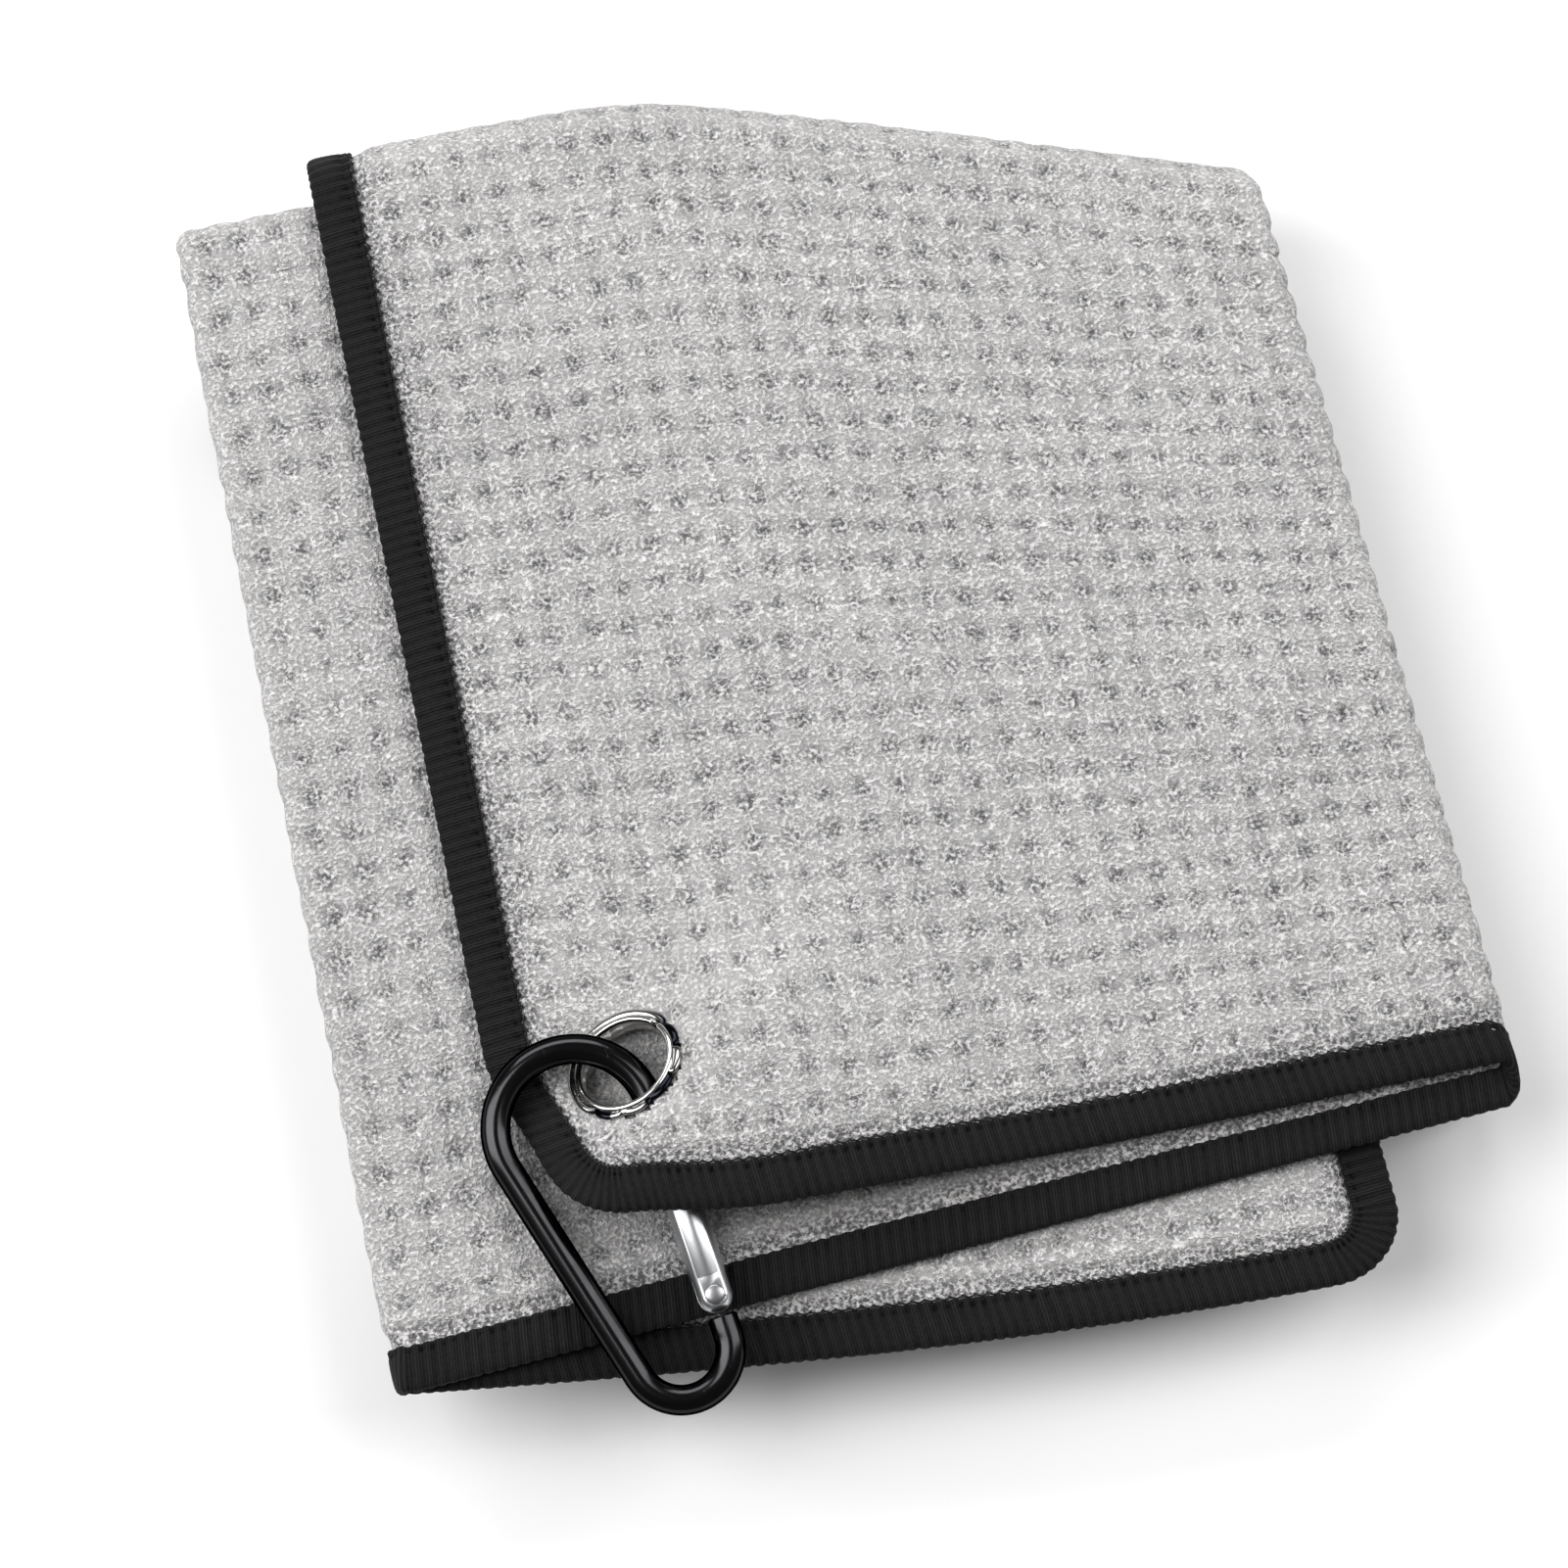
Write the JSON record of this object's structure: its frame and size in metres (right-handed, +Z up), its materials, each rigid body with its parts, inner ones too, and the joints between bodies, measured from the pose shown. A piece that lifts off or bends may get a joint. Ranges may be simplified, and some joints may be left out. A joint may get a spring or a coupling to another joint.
{
  "type": "golf towel",
  "caption": "Golf towel of waffle cloth with a bound edge, folded in thirds both ways, with a metal eyelet in one corner and a snap carabiner through it.",
  "frame": {"origin": "on the underside of the folded towel's bottom layer, which lies on the floor, near the middle of the folded towel", "axes": "+Z up, out of the front layer; +Y towards the top fold; +X towards the right-hand fold of the front layer"},
  "size_m": [0.1388, 0.1667, 0.0313],
  "materials": {
    "waffle_cloth": "light warm grey heathered waffle microfibre",
    "black_binding": "black overlocked thread binding",
    "black_thread": "black sewing thread",
    "chrome_eyelet": "bright nickel plate",
    "black_anodised": "glossy black anodised aluminium wire",
    "brushed_aluminium": "satin aluminium",
    "steel_pins": "bright steel"
  },
  "bodies": {
    "towel": {"towel_cloth": "waffle_cloth", "edge_binding": "black_binding", "binding_seam_thread": "black_thread", "eyelet": "chrome_eyelet", "eyelet_washer": "chrome_eyelet"},
    "carabiner": {"carabiner_frame": "black_anodised", "hinge_rivet": "steel_pins"},
    "gate": {"carabiner_gate": "brushed_aluminium", "latch_pin": "steel_pins", "gate_spring": "steel_pins"},
    "pusher": {"spring_pusher": "steel_pins"}
  },
  "joints": [
    {"name": "carabiner_swivel", "type": "hinge", "parent": "towel", "child": "carabiner", "pos_m": [-0.0255, -0.0307, 0.0258], "axis": [0, 0, 1], "range_deg": [-6, 6]},
    {"name": "gate_hinge", "type": "hinge", "parent": "carabiner", "child": "gate", "pos_m": [-0.02082, -0.05896, 0.02285], "axis": [0, -0.0958, 0.9954], "range_deg": [0, 32], "stiffness_Nm_per_rad": 0.02, "springref_deg": -20.05},
    {"name": "pusher_slide", "type": "slide", "parent": "gate", "child": "pusher", "axis": [-0.123, 0.9878, 0.0951], "range_m": [0, 0.00056], "deforming": ["gate_spring"]}
  ],
  "couplings": [
    {"joint": "pusher_slide", "follows": "gate_hinge", "m_per_rad": 0.001}
  ]
}
